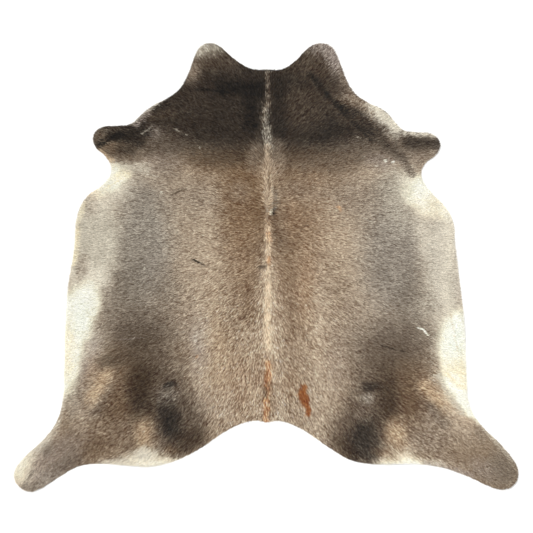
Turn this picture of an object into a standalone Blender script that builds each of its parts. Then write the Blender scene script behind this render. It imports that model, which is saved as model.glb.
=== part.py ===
"""Hair-on cowhide rug: one whole skin, cut to its own outline and laid flat, hair side up.

The outline keeps the neck, both fore shanks, the belly and both hind shanks. The skin lies
on the floor and lifts a little in soft ripples at its rim and along its old skin folds.
Units are metres, +Z is up and the neck points to +Y.
"""

import bmesh
import bpy
from mathutils import Vector

LENGTH = 2.10
SPAN = 2.36
COAT_HEIGHT = 0.0068
CUT_EDGE_HEIGHT = 0.0030
RIM_WIDTH = 0.009
SPINE_RISE = 0.0014
SPINE_HALF_WIDTH = 0.055
GRID = 0.046
OUTLINE_STEPS = 4
WELD = 0.003

COAT_COLOUR = (0.30, 0.24, 0.18, 1.0)
COAT_ROUGHNESS = 0.62

# The cut line, clockwise from the middle of the neck: a name, then x and y
OUTLINE = (
    ("neck middle", 0.005, 0.928),
    ("right neck hollow", 0.075, 0.930),
    ("right neck slope", 0.128, 0.961),
    ("right flap inner side", 0.174, 1.009),
    ("right flap shoulder", 0.216, 1.040),
    ("right flap top", 0.262, 1.050),
    ("right flap corner", 0.307, 1.033),
    ("right flap outer side", 0.335, 0.989),
    ("right neck side", 0.378, 0.878),
    ("right neck foot", 0.421, 0.812),
    ("right shoulder", 0.487, 0.769),
    ("right shoulder swell", 0.554, 0.736),
    ("right shank root", 0.600, 0.687),
    ("right shank neck", 0.640, 0.646),
    ("right shank top", 0.702, 0.634),
    ("right shank top end", 0.770, 0.628),
    ("right shank tip", 0.813, 0.587),
    ("right shank underside", 0.801, 0.533),
    ("right shank hollow", 0.746, 0.486),
    ("right armpit", 0.726, 0.436),
    ("right armpit slope", 0.764, 0.364),
    ("right elbow", 0.845, 0.278),
    ("right elbow corner", 0.878, 0.206),
    ("right belly top", 0.884, 0.110),
    ("right belly upper", 0.910, -0.095),
    ("right belly", 0.933, -0.330),
    ("right belly lower", 0.939, -0.530),
    ("right flank hollow", 0.953, -0.645),
    ("right thigh", 1.001, -0.728),
    ("right hock", 1.090, -0.816),
    ("right shin", 1.149, -0.886),
    ("right hind tip upper", 1.178, -0.950),
    ("right hind tip", 1.164, -1.010),
    ("right hind tip lower", 1.111, -1.040),
    ("right hind underside", 1.047, -1.027),
    ("right hind calf", 0.940, -0.979),
    ("right groin outer", 0.826, -0.939),
    ("right groin", 0.690, -0.920),
    ("right groin inner", 0.520, -0.922),
    ("right buttock", 0.401, -0.905),
    ("right seat outer", 0.289, -0.841),
    ("right seat", 0.168, -0.760),
    ("right seat crown", 0.084, -0.724),
    ("tail right", 0.042, -0.719),
    ("tail", 0.005, -0.727),
    ("tail left", -0.040, -0.718),
    ("left seat crown", -0.099, -0.727),
    ("left seat", -0.184, -0.766),
    ("left seat outer", -0.308, -0.849),
    ("left buttock", -0.411, -0.901),
    ("left groin inner", -0.530, -0.932),
    ("left groin", -0.640, -0.928),
    ("left groin outer", -0.790, -0.920),
    ("left hind calf", -0.881, -0.934),
    ("left hind underside", -0.983, -0.994),
    ("left hind foot", -1.050, -1.035),
    ("left hind tip lower", -1.104, -1.050),
    ("left hind tip", -1.164, -1.014),
    ("left hind tip upper", -1.178, -0.962),
    ("left shin", -1.142, -0.898),
    ("left hock", -1.044, -0.804),
    ("left thigh", -0.985, -0.729),
    ("left flank hollow", -0.952, -0.625),
    ("left belly lower", -0.945, -0.480),
    ("left belly", -0.941, -0.300),
    ("left belly upper", -0.925, -0.085),
    ("left belly top", -0.896, 0.100),
    ("left elbow corner", -0.882, 0.250),
    ("left elbow", -0.840, 0.332),
    ("left armpit slope", -0.763, 0.391),
    ("left armpit", -0.724, 0.450),
    ("left shank hollow", -0.752, 0.519),
    ("left shank underside", -0.800, 0.566),
    ("left shank tip", -0.807, 0.620),
    ("left shank top end", -0.768, 0.657),
    ("left shank top", -0.700, 0.664),
    ("left shank neck", -0.630, 0.674),
    ("left shank root", -0.583, 0.718),
    ("left shoulder swell", -0.535, 0.755),
    ("left shoulder", -0.468, 0.790),
    ("left neck foot", -0.408, 0.834),
    ("left neck side", -0.365, 0.907),
    ("left flap outer side", -0.337, 0.984),
    ("left flap corner", -0.309, 1.032),
    ("left flap top", -0.262, 1.050),
    ("left flap shoulder", -0.213, 1.034),
    ("left flap inner side", -0.157, 0.986),
    ("left neck slope", -0.101, 0.946),
    ("left neck hollow", -0.060, 0.930),
)

# Places at the rim where the skin stands off the floor: a name, its middle x and y, its reach
# along x and along y, and the height of its crest
RIPPLES = (
    ("left neck flap", -0.285, 1.045, 0.160, 0.130, 0.0080),
    ("right neck flap", 0.285, 1.045, 0.150, 0.140, 0.0070),
    ("left fore shank", -0.820, 0.605, 0.170, 0.110, 0.0090),
    ("right fore shank", 0.830, 0.590, 0.180, 0.110, 0.0080),
    ("left armpit", -0.720, 0.440, 0.120, 0.110, 0.0060),
    ("right armpit", 0.730, 0.400, 0.130, 0.130, 0.0070),
    ("left belly, upper", -0.910, 0.160, 0.190, 0.150, 0.0080),
    ("left belly, middle", -0.945, -0.140, 0.230, 0.150, 0.0110),
    ("left belly, lower", -0.955, -0.450, 0.170, 0.160, 0.0070),
    ("right belly, upper", 0.905, 0.060, 0.180, 0.160, 0.0090),
    ("right belly, middle", 0.945, -0.260, 0.210, 0.160, 0.0100),
    ("right belly, lower", 0.950, -0.560, 0.160, 0.130, 0.0060),
    ("left hind shank", -1.170, -0.990, 0.200, 0.160, 0.0090),
    ("right hind shank", 1.170, -0.970, 0.190, 0.180, 0.0100),
    ("left groin", -0.610, -0.935, 0.190, 0.110, 0.0060),
    ("right groin", 0.600, -0.925, 0.180, 0.110, 0.0070),
)

# Old folds of the skin, each a low ridge: a name, where it starts and ends, its half width
# and the height of its crest
FOLDS = (
    ("left neck fold, outer", -0.500, 0.755, -0.240, 0.825, 0.060, 0.0026),
    ("left neck fold, inner", -0.240, 0.825, -0.030, 0.865, 0.060, 0.0022),
    ("right neck fold, inner", 0.210, 0.862, 0.330, 0.760, 0.060, 0.0026),
    ("right neck fold, outer", 0.330, 0.760, 0.560, 0.600, 0.065, 0.0032),
    ("left shank fold", -0.790, 0.585, -0.600, 0.660, 0.058, 0.0034),
    ("right shank fold", 0.640, 0.595, 0.800, 0.592, 0.058, 0.0034),
    ("right flank fold, upper", 0.860, -0.020, 0.858, -0.210, 0.060, 0.0030),
    ("right flank fold, lower", 0.858, -0.210, 0.915, -0.490, 0.060, 0.0034),
    ("left flank fold", -0.850, 0.020, -0.890, -0.420, 0.062, 0.0032),
)


def remove_start_objects():
    """Empties the file of whatever a new Blender scene holds."""
    for item in list(bpy.data.objects):
        bpy.data.objects.remove(item)


def soft_crest(share):
    """A rounded crest, 1 at its middle and level with the floor from a share of 1 outward."""
    return (1 - share * share) ** 2 if share < 1 else 0.0


def ripple_height(x, y):
    """How far the rim's ripples lift the skin at a point."""
    lifts = (
        crest * soft_crest(((x - mid_x) ** 2 / reach_x**2 + (y - mid_y) ** 2 / reach_y**2) ** 0.5)
        for _, mid_x, mid_y, reach_x, reach_y, crest in RIPPLES
    )
    return max(lifts)


def fold_height(x, y):
    """How far the nearest skin fold lifts the skin at a point."""
    highest = 0.0
    for _, start_x, start_y, end_x, end_y, half_width, crest in FOLDS:
        start = Vector((start_x, start_y))
        run = Vector((end_x, end_y)) - start
        along = (Vector((x, y)) - start).dot(run) / run.length_squared
        nearest = start + run * min(1.0, max(0.0, along))
        distance = (Vector((x, y)) - nearest).length
        highest = max(highest, crest * soft_crest(distance / half_width))
    return highest


def coat_height(x, on_rim):
    """Leather and lying hair together: thin at the cut edge and thickest along the spine."""
    if on_rim:
        return CUT_EDGE_HEIGHT
    return COAT_HEIGHT + SPINE_RISE * soft_crest(abs(x) / SPINE_HALF_WIDTH)


def cut_line():
    """The outline as a smooth closed run of points, centred on the origin."""
    curve = bpy.data.curves.new("cut_line", "CURVE")
    curve.resolution_u = OUTLINE_STEPS
    spline = curve.splines.new("BEZIER")
    spline.use_cyclic_u = True
    spline.bezier_points.add(len(OUTLINE) - 1)
    for point, (_, x, y) in zip(spline.bezier_points, OUTLINE):
        point.co = (x, y, 0)
        point.handle_left_type = "AUTO"
        point.handle_right_type = "AUTO"
    guide = bpy.data.objects.new("cut_line", curve)
    bpy.context.scene.collection.objects.link(guide)
    graph = bpy.context.evaluated_depsgraph_get()
    points = [vertex.co.copy() for vertex in guide.evaluated_get(graph).to_mesh().vertices]
    bpy.data.objects.remove(guide)
    bpy.data.curves.remove(curve)
    return fitted(points)


def fitted(points):
    """The points moved and scaled a little, so that the rug has its stated length and span."""
    low = Vector((min(p.x for p in points), min(p.y for p in points)))
    high = Vector((max(p.x for p in points), max(p.y for p in points)))
    middle = (low + high) / 2
    scale_x = SPAN / (high.x - low.x)
    scale_y = LENGTH / (high.y - low.y)
    return [Vector(((p.x - middle.x) * scale_x, (p.y - middle.y) * scale_y, 0)) for p in points]


def grid_lines(size):
    """Places of the lines that cross a side of this size, with the middle between two lines."""
    count = int(size / GRID / 2)
    return [(step + 0.5) * GRID for step in range(-count - 1, count + 1)]


def flat_layer(points):
    """One flat layer of skin: the outline filled, with a rim strip and a grid across it."""
    layer = bmesh.new()
    skin = layer.faces.new([layer.verts.new(point) for point in points])
    if skin.normal.z < 0:
        skin.normal_flip()
    layer.normal_update()
    bmesh.ops.inset_individual(layer, faces=[skin], thickness=RIM_WIDTH, use_even_offset=True)
    cuts = [((place, 0, 0), (1, 0, 0)) for place in grid_lines(SPAN)]
    cuts += [((0, place, 0), (0, 1, 0)) for place in grid_lines(LENGTH)]
    for place, across in cuts:
        everything = layer.verts[:] + layer.edges[:] + layer.faces[:]
        bmesh.ops.bisect_plane(layer, geom=everything, plane_co=place, plane_no=across)
    bmesh.ops.remove_doubles(layer, verts=layer.verts[:], dist=WELD)
    return layer


def laid_skin(layer):
    """Gives the flat layer its thickness, then lifts it at its ripples and folds."""
    bmesh.ops.recalc_face_normals(layer, faces=layer.faces[:])
    if layer.faces[0].normal.z < 0:
        bmesh.ops.reverse_faces(layer, faces=layer.faces[:])
    bmesh.ops.solidify(layer, geom=layer.faces[:], thickness=COAT_HEIGHT)
    bmesh.ops.recalc_face_normals(layer, faces=layer.faces[:])
    middle = sum(vertex.co.z for vertex in layer.verts) / len(layer.verts)
    upper = [vertex.co.z > middle for vertex in layer.verts]
    on_rim = [any(abs(face.normal.z) < 0.5 for face in vertex.link_faces) for vertex in layer.verts]
    for vertex, is_upper, is_rim in zip(layer.verts, upper, on_rim):
        x, y = vertex.co.x, vertex.co.y
        lift = max(ripple_height(x, y), fold_height(x, y))
        vertex.co.z = lift + (coat_height(x, is_rim) if is_upper else 0)
    bmesh.ops.triangulate(layer, faces=layer.faces[:])


def coat_material():
    """The plain colour of the coat: a warm grey brown."""
    material = bpy.data.materials.new("cowhide_coat")
    material.use_nodes = True
    shader = material.node_tree.nodes["Principled BSDF"]
    shader.inputs["Base Color"].default_value = COAT_COLOUR
    shader.inputs["Roughness"].default_value = COAT_ROUGHNESS
    shader.inputs["Metallic"].default_value = 0.0
    return material


def cowhide():
    """The rug as one solid."""
    layer = flat_layer(cut_line())
    laid_skin(layer)
    mesh = bpy.data.meshes.new("cowhide")
    layer.to_mesh(mesh)
    layer.free()
    mesh.materials.append(coat_material())
    mesh.shade_smooth()
    rug = bpy.data.objects.new("cowhide", mesh)
    bpy.context.scene.collection.objects.link(rug)
    return rug


remove_start_objects()
cowhide()
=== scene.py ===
"""Looks of the cowhide rug: the tanned leather under it and the short coat of hair on it.

The leather is one thin sheet on the frame's own ripples and folds. The coat is made of small locks
of hair, which lie along the flow of the coat and carry its painted markings. Units are metres.
"""

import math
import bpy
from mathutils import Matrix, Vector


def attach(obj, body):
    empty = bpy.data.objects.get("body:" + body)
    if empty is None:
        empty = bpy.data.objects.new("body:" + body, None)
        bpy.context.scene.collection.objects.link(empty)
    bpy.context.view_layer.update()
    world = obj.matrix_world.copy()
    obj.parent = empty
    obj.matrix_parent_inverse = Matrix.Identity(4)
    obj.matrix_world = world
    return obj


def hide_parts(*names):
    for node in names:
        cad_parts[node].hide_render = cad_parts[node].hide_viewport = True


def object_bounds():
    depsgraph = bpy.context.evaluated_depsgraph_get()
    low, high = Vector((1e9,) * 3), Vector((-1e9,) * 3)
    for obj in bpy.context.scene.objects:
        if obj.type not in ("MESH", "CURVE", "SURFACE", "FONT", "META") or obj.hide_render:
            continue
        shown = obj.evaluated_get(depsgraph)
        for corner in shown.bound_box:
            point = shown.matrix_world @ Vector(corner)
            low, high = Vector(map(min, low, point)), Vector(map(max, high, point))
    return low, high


bl_info = {
    "name": "Cowhide Rug",
    "version": (1, 0, 0),
    "blender": (4, 5, 0),
    "location": "3D View > Sidebar > Cowhide",
    "description": "Dresses the laid cowhide with its leather, its coat of hair and a plain stage",
    "category": "Object",
}

from collections import namedtuple

import bmesh
import bpy
import numpy as np
from mathutils import Vector
from mathutils.bvhtree import BVHTree

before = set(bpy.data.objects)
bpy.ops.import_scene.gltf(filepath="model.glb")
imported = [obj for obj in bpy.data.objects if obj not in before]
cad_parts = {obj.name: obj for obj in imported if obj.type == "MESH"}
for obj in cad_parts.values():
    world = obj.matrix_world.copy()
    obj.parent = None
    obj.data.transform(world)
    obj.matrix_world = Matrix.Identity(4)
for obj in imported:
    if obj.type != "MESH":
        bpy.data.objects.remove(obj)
CAD_LOW, CAD_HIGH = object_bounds()
SPAN = CAD_HIGH.x - CAD_LOW.x
LENGTH = CAD_HIGH.y - CAD_LOW.y

# The coat's colours as the eye sees them, in steps of 255
PALETTE = {
    "soot": (34, 29, 24),
    "peat": (62, 49, 36),
    "bark": (58, 50, 42),
    "umber": (88, 75, 62),
    "ash_brown": (102, 90, 78),
    "bay": (104, 84, 64),
    "saddle": (122, 98, 74),
    "hazel": (132, 113, 92),
    "taupe": (160, 148, 138),
    "tawny": (168, 142, 115),
    "drab": (150, 135, 118),
    "fawn": (171, 154, 133),
    "pale_fawn": (192, 172, 147),
    "dove": (143, 134, 122),
    "slate": (122, 112, 99),
    "stone": (193, 185, 168),
    "bone": (212, 204, 187),
    "ivory": (240, 230, 206),
    "cream": (242, 239, 217),
    "milk": (235, 239, 220),
    "sand": (226, 203, 173),
    "buff": (188, 164, 134),
    "butter": (240, 226, 195),
    "copper": (192, 146, 106),
    "rust": (146, 103, 70),
    "chestnut": (134, 82, 44),
}

# A soft oval patch in the coat. Its middle is counted right and down from the photograph's corner,
# in steps of the photograph, and its reach along and across is in the same steps. Its turn is
# clockwise, in degrees. Its edge fades inwards and outwards by its softness, a share of its reach
Patch = namedtuple(
    "Patch", "name right down along across colour strength turn softness", defaults=(0, 0.80)
)

# A soft line in the coat, from one place to another, with its half width in the same steps
Stroke = namedtuple(
    "Stroke", "name right down end_right end_down half_width colour strength softness", defaults=(0.80,)
)

# The rows of the next tables have these columns. They leave out a turn and a softness that are the
# usual ones, and some names leave out what the table's own name says. All patches are laid over
# each other in the order of their rows, then all strokes

# The first coats of the rump, the loin, the shoulders and the saddle
BACK_PATCHES = (
    ("rump, light", 212, 350, 24, 60, "pale_fawn", 0.35),
    ("loin, light", 268, 345, 18, 60, "pale_fawn", 0.50),
    ("left rump, warm", 240, 382, 22, 42, "tawny", 0.60),
    ("right side, light", 336, 238, 16, 40, "pale_fawn", 0.45),
    ("right thigh, side", 418, 317, 12, 20, "stone", 0.50),
    ("left shoulder", 188, 196, 30, 16, "drab", 0.50),
    ("left shoulder, grey", 140, 195, 14, 9, "slate", 0.50),
    ("right shoulder", 354, 198, 26, 20, "drab", 0.60),
    ("left loin, shade", 184, 322, 12, 26, "drab", 0.40),
    ("left rump, grey", 202, 346, 12, 26, "taupe", 0.50),
    ("left rump, dusk", 184, 351, 8, 12, "hazel", 0.30),
    ("left rump, spot", 203, 336, 9, 10, "bone", 0.30),
    ("left rump, low", 214, 403, 16, 18, "taupe", 0.35),
    ("right loin, shade", 344, 324, 14, 28, "drab", 0.60),
    ("right rump, grey", 335, 362, 10, 28, "taupe", 0.45),
    ("right thigh, inner", 352, 366, 12, 24, "ash_brown", 0.25, 10),
    ("left side, light", 214, 262, 14, 40, "pale_fawn", 0.45),
    ("right rump, light", 326, 335, 18, 60, "pale_fawn", 0.35),
    ("right rump, spot", 312, 350, 9, 10, "pale_fawn", 0.40),
    ("left saddle", 246, 206, 24, 44, "saddle", 0.90, 0, 0.70),
    ("left saddle, low", 242, 284, 20, 60, "saddle", 0.40),
    ("right saddle", 282, 216, 23, 36, "saddle", 0.70, 0, 0.70),
    ("right saddle, side", 316, 212, 20, 46, "saddle", 0.25),
    ("right saddle, low", 295, 300, 15, 110, "saddle", 0.50, 0, 0.60),
    ("right saddle, rim", 311, 215, 8, 48, "saddle", 0.30),
    ("right of the whorl", 279, 222, 8, 26, "umber", 0.35),
    ("left saddle, edge", 250, 275, 8, 26, "saddle", 0.35),
    ("right saddle, middle", 282, 272, 12, 20, "saddle", 0.40),
    ("right saddle, tan", 305, 286, 9, 32, "tawny", 0.60),
)

# The flanks and the belly beside them
SIDE_PATCHES = (
    ("left flank", 142, 245, 28, 66, "dove", 0.95, 0, 0.60),
    ("left flank, low", 126, 296, 20, 26, "slate", 0.60),
    ("left flank, dusk", 132, 260, 18, 26, "slate", 0.35),
    ("left flank, inner", 168, 292, 12, 22, "slate", 0.40),
    ("left of the loin", 248, 338, 9, 14, "pale_fawn", 0.50),
    ("left of the loin, dusk", 249, 314, 8, 12, "saddle", 0.32),
    ("right flank", 394, 256, 32, 66, "dove", 0.90, 0, 0.60),
    ("right flank, high", 400, 221, 16, 14, "stone", 0.32),
    ("right flank, low", 410, 298, 14, 22, "slate", 0.50),
    ("left belly", 88, 242, 31, 48, "stone", 1.00, 0, 0.30),
    ("left belly, low", 90, 278, 18, 14, "bone", 1.00, 0, 0.60),
    ("left belly, spot", 92, 207, 8, 8, "drab", 0.65),
    ("left belly, shade", 81, 268, 6, 15, "drab", 0.50, 8),
    ("left flank, rim", 108, 302, 9, 20, "dove", 0.35),
    ("right belly", 446, 258, 22, 60, "bone", 0.95, 0, 0.35),
    ("right belly, light", 457, 268, 7, 13, "ivory", 0.40),
    ("right belly, top", 423, 228, 11, 26, "bone", 0.65),
    ("right belly, shade", 451, 286, 6, 20, "stone", 0.80),
    ("right flank, rim", 427, 298, 8, 22, "stone", 0.40),
)

# The left hind leg and buttock
LEFT_HIND_PATCHES = (
    ("thigh, top", 138, 332, 34, 22, "ash_brown", 0.85, 0, 0.70),
    ("thigh, fold", 153, 351, 11, 10, "drab", 0.30),
    ("thigh", 144, 392, 39, 56, "umber", 0.90, 0, 0.55),
    ("hind quarter", 104, 408, 46, 50, "hazel", 0.75, -30, 0.60),
    ("calf", 92, 435, 56, 32, "hazel", 0.90, -30, 0.50),
    ("thigh, edge", 88, 358, 10, 26, "taupe", 0.85, 10),
    ("thigh, cream edge", 85, 347, 6, 13, "ivory", 0.40),
    ("thigh, outer", 91, 394, 12, 34, "fawn", 0.30),
    ("thigh, outer rim", 76, 394, 8, 16, "stone", 0.35, 10),
    ("calf, low", 81, 447, 22, 9, "bay", 0.75, -8),
    ("shank", 52, 462, 42, 18, "taupe", 0.55, -42, 0.60),
    ("shank, low", 66, 466, 16, 8, "ash_brown", 0.55, -20),
    ("shank, tip, dark", 34, 486, 9, 5, "slate", 0.60),
    ("shank, spots", 47, 448, 6, 8, "slate", 0.50, 30),
    ("stifle", 115, 368, 14, 22, "bay", 0.55),
    ("stifle, low", 116, 406, 15, 20, "bay", 0.80),
    ("thigh, dark", 141, 386, 13, 36, "peat", 0.90),
    ("hock, soft", 90, 392, 30, 15, "drab", 0.75, -46),
    ("hock, low", 80, 408, 9, 18, "drab", 0.50),
    ("buttock", 184, 420, 36, 20, "umber", 0.85, 62, 0.70),
    ("buttock, dark", 170, 422, 24, 10, "soot", 0.70, 76, 0.70),
    ("buttock, low", 186, 441, 19, 9, "peat", 0.70, -28),
    ("buttock, end", 172, 448, 12, 9, "umber", 0.80, 0, 0.70),
    ("buttock, tan", 144, 433, 9, 16, "buff", 0.85),
    ("groin", 147, 470, 29, 17, "ivory", 1.00, 0, 0.60),
    ("groin, rim", 170, 462, 17, 4.5, "ivory", 0.45, -14),
    ("groin, top", 144, 454, 12, 7, "bone", 0.95),
    ("buttock, foot", 170, 450, 9, 5, "saddle", 0.45, -10),
    ("groin, side", 116, 463, 18, 5.5, "bone", 0.75, 0, 0.70),
    ("calf, foot", 110, 456, 11, 5, "hazel", 0.45),
    ("shank, rim", 34, 447, 26, 7, "bone", 0.90, -46),
    ("shank, tip", 19, 468, 11, 14, "ivory", 0.90, 20),
)

# The right hind leg and buttock
RIGHT_HIND_PATCHES = (
    ("thigh, top", 396, 342, 42, 25, "ash_brown", 0.80, 0, 0.70),
    ("thigh", 390, 390, 36, 46, "umber", 0.90, 0, 0.55),
    ("hind quarter", 424, 412, 46, 46, "hazel", 0.80, 30, 0.60),
    ("calf", 440, 432, 60, 32, "drab", 0.75, 30, 0.50),
    ("calf, light", 454, 424, 14, 10, "fawn", 0.70, 30),
    ("shank", 494, 468, 34, 20, "hazel", 0.90, 45, 0.70),
    ("shank, light", 484, 468, 15, 9, "taupe", 0.50, 30),
    ("stifle", 408, 398, 15, 28, "bay", 0.90),
    ("thigh, dark", 386, 402, 11, 28, "peat", 0.85),
    ("calf, dark", 479, 432, 8, 5, "ash_brown", 0.45, 42),
    ("hock, soft", 450, 404, 32, 12, "pale_fawn", 0.80, 44),
    ("buttock", 352, 426, 38, 20, "umber", 0.85, 118, 0.70),
    ("buttock, dark", 362, 440, 23, 15, "soot", 0.70, 108, 0.70),
    ("buttock, top", 361, 412, 8, 8, "drab", 0.35),
    ("buttock, low", 346, 447, 14, 7, "peat", 0.70, 33),
    ("buttock, end", 371, 450, 10, 12, "bark", 0.65, 0, 0.70),
    ("buttock, tan", 396, 433, 9, 14, "buff", 0.85, -10),
    ("buttock, pale", 404, 447, 8, 8, "pale_fawn", 0.30),
    ("groin", 403, 467, 25, 14, "ivory", 1.00, 0, 0.60),
    ("groin, rim", 405, 463, 24, 5, "cream", 0.60),
    ("buttock, foot", 385, 454, 12, 5, "saddle", 0.45, 22),
    ("groin, side", 431, 465, 11, 6, "bone", 0.60, 8),
    ("calf, foot", 424, 456, 12, 5, "hazel", 0.50, 8),
    ("calf, low", 457, 452, 16, 12, "hazel", 0.55, 20),
    ("shank, end", 504, 466, 14, 18, "slate", 0.60, -20),
)

# The cream belly on both sides
BELLY_PATCHES = (
    ("left belly cream", 70, 318, 24, 28, "cream", 1.00, 0, 0.34),
    ("left belly cream, top", 87, 301, 13, 18, "cream", 1.00, 0, 0.50),
    ("left belly cream, low", 60, 350, 22, 47, "cream", 1.00, 0, 0.24),
    ("left belly rim", 68, 351, 7, 26, "butter", 0.85),
    ("right belly cream", 463, 340, 27, 31, "cream", 1.00, 0, 0.28),
    ("right belly cream, top", 440, 311, 9, 13, "bone", 0.60),
    ("right belly cream, low", 466, 366, 26, 36, "cream", 1.00, 0, 0.26),
    ("right belly, butter", 455, 378, 12, 22, "butter", 0.92),
    ("right belly, milk", 454, 338, 8, 18, "milk", 0.90),
    ("left belly, milk", 82, 316, 9, 18, "milk", 0.60),
    ("right belly cream, end", 468, 402, 19, 7, "cream", 1.00, 48, 0.60),
)

# The pale armpits
ARMPIT_PATCHES = (
    ("left armpit, soft", 112, 192, 24, 14, "bone", 0.80, -40),
    ("left armpit, top", 111, 162, 6, 5, "bone", 0.80, 30),
    ("left armpit", 112, 178, 20, 11, "cream", 1.00, -40, 0.50),
    ("left armpit, butter", 121, 175, 9, 5, "butter", 1.00, -25),
    ("right shoulder, light", 400, 188, 20, 24, "stone", 0.75),
    ("right armpit", 424, 191, 18, 15, "cream", 1.00, 0, 0.50),
    ("right armpit, side", 438, 205, 16, 12, "ivory", 1.00, 0, 0.60),
    ("right armpit, low", 430, 206, 18, 9, "ivory", 0.90, 10),
    ("right armpit, inner", 405, 185, 8, 10, "bone", 0.50),
)

# The withers, the neck and its flaps
NECK_PATCHES = (
    ("withers", 268, 158, 92, 12, "saddle", 0.80),
    ("withers, low", 272, 172, 60, 18, "saddle", 0.80),
    ("withers, left dusk", 226, 160, 40, 8, "umber", 0.45),
    ("withers, right dusk", 318, 163, 38, 10, "ash_brown", 0.60),
    ("neck", 262, 30, 300, 124, "bark", 1.00, 0, 0.14),
    ("left withers, grey", 162, 143, 22, 14, "ash_brown", 0.80),
    ("left withers, light", 153, 131, 8, 5, "taupe", 0.45, 20),
    ("left withers, cool", 160, 163, 22, 9, "taupe", 0.35),
    ("right withers, grey", 364, 150, 26, 12, "ash_brown", 0.60, 10),
    ("right withers, pale", 380, 161, 14, 8, "taupe", 0.50),
    ("right withers, dark", 320, 136, 22, 12, "soot", 0.35),
    ("right neck, brown", 302, 106, 22, 24, "umber", 0.60),
    ("right nape, dusk", 297, 78, 12, 9, "soot", 0.40),
    ("right neck, side", 346, 104, 28, 14, "umber", 0.60, 45),
    ("left neck, brown", 190, 100, 18, 22, "umber", 0.20),
    ("left neck flap", 205, 60, 24, 11, "umber", 0.80, 0, 0.70),
    ("left neck flap, tip", 209, 45, 17, 10, "stone", 0.72),
    ("left neck flap, top", 198, 49, 7, 9, "bone", 0.65),
    ("left neck flap, tan", 192, 71, 8, 10, "drab", 0.80),
    ("left neck flap, inner", 232, 62, 10, 8, "ash_brown", 0.40, 40),
    ("right neck flap", 316, 64, 30, 16, "umber", 0.80),
    ("right neck flap, top", 322, 46, 15, 9, "taupe", 0.90),
    ("right neck flap, tip", 334, 57, 9, 16, "taupe", 1.00, -15),
    ("right neck flap, side", 346, 76, 7, 14, "drab", 0.80),
    ("right neck, tan", 344, 103, 10, 5, "hazel", 0.45, 25),
)

# The fore shanks
FORE_SHANK_PATCHES = (
    ("left fore shank, tip", 97, 140, 9, 12, "umber", 0.60),
    ("left fore shank, low", 114, 147, 12, 5, "saddle", 0.45, -10),
    ("left fore shank, under", 122, 153, 22, 9, "umber", 0.60, 8, 0.50),
    ("right fore shank", 420, 146, 32, 15, "ash_brown", 0.75, 0, 0.60),
    ("right fore shank, rim", 424, 158, 20, 6, "drab", 0.90),
    ("right fore shank, tip", 439, 145, 6, 9, "taupe", 0.60),
)

# The leaf mark on the rump and the marks on the hips
MARK_PATCHES = (
    ("leaf mark", 303, 396.5, 5.4, 8, "chestnut", 0.95, 0, 0.25),
    ("leaf mark, top", 302.8, 389.5, 3, 6, "chestnut", 0.90, 0, 0.30),
    ("leaf mark, tail", 306.6, 406, 3.4, 10, "chestnut", 0.95, -16, 0.25),
    ("left hip dimple", 168, 384.5, 6.5, 2.6, "soot", 0.85, -22, 0.60),
    ("left hip, below the dimple", 166, 394, 12, 9, "dove", 0.50),
    ("right hip, dark", 371, 386, 9, 4.5, "bark", 0.80),
    ("right hip fleck", 367, 397, 7, 5.5, "dove", 0.70),
)

# Broad lights and shades over what is there so far
LIGHT_AND_SHADE = (
    ("chine, right light", 301, 191, 24, 12, "drab", 0.50),
    ("chine, left light", 240, 192, 10, 10, "drab", 0.50),
    ("left back, light", 240, 246, 13, 48, "tawny", 0.38),
    ("right back, light", 312, 225, 15, 52, "tawny", 0.32),
    ("right flank, shade", 336, 275, 13, 22, "hazel", 0.28),
    ("left shoulder, shade", 168, 168, 13, 10, "ash_brown", 0.32),
    ("left ribs, light", 126, 228, 22, 36, "stone", 0.18),
    ("right armpit, light", 410, 190, 12, 10, "cream", 0.32),
    ("left flank, pale rim", 97, 344, 13, 52, "stone", 0.22),
    ("left loin, light", 216, 364, 12, 58, "buff", 0.42),
    ("left thigh, inner light", 144, 357, 12, 10, "drab", 0.22),
    ("left calf, light", 120, 430, 15, 14, "drab", 0.25),
    ("right stifle, light", 385, 430, 9, 13, "tawny", 0.10),
    ("left hock, pale rim", 71, 405, 8, 13, "stone", 0.22),
    ("right back, tawny", 288, 214, 10, 19, "tawny", 0.45),
    ("right nape, light", 338, 95, 9, 13, "ash_brown", 0.32),
    ("left armpit, low", 96, 190, 9, 9, "sand", 0.40),
    ("right loin, light", 300, 354, 18, 18, "fawn", 0.35),
    ("right loin, inner shade", 288, 322, 10, 20, "hazel", 0.25),
    ("right thigh, inner shade", 337, 355, 13, 62, "hazel", 0.26),
    ("left stifle, light", 112, 372, 18, 16, "tawny", 0.18),
    ("left thigh, pale rim", 95, 376, 9, 19, "tawny", 0.52),
    ("left thigh, grey rim", 96, 386, 9, 12, "stone", 0.22),
    ("left ribs, pale", 157, 227, 24, 24, "stone", 0.15),
    ("right flank, slate", 432, 308, 8, 13, "slate", 0.25),
    ("left loin, pale", 216, 337, 11, 14, "buff", 0.25),
    ("left seat, shade", 216, 428, 12, 8, "hazel", 0.30, -20),
    ("left shank, inner shade", 72, 453, 11, 11, "ash_brown", 0.22),
    ("right shank, tip shade", 506, 464, 11, 20, "ash_brown", 0.26, -20),
    ("right rump, tawny", 288, 384, 9, 13, "tawny", 0.30),
    ("left hock, shade", 96, 408, 11, 9, "ash_brown", 0.42),
    ("left stifle, shade", 145, 407, 12, 11, "bark", 0.28),
    ("left shank, shade", 50, 479, 13, 8, "dove", 0.55),
    ("right shank, shade", 490, 479, 26, 9, "ash_brown", 0.28, 12),
    ("right ribs, shade", 433, 262, 9, 58, "dove", 0.24),
    ("right belly, low shade", 457, 275, 7, 28, "taupe", 0.28),
    ("right flap, top", 335, 46, 10, 8, "taupe", 0.95),
    ("right elbow, shade", 384, 192, 11, 14, "slate", 0.30),
)

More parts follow.
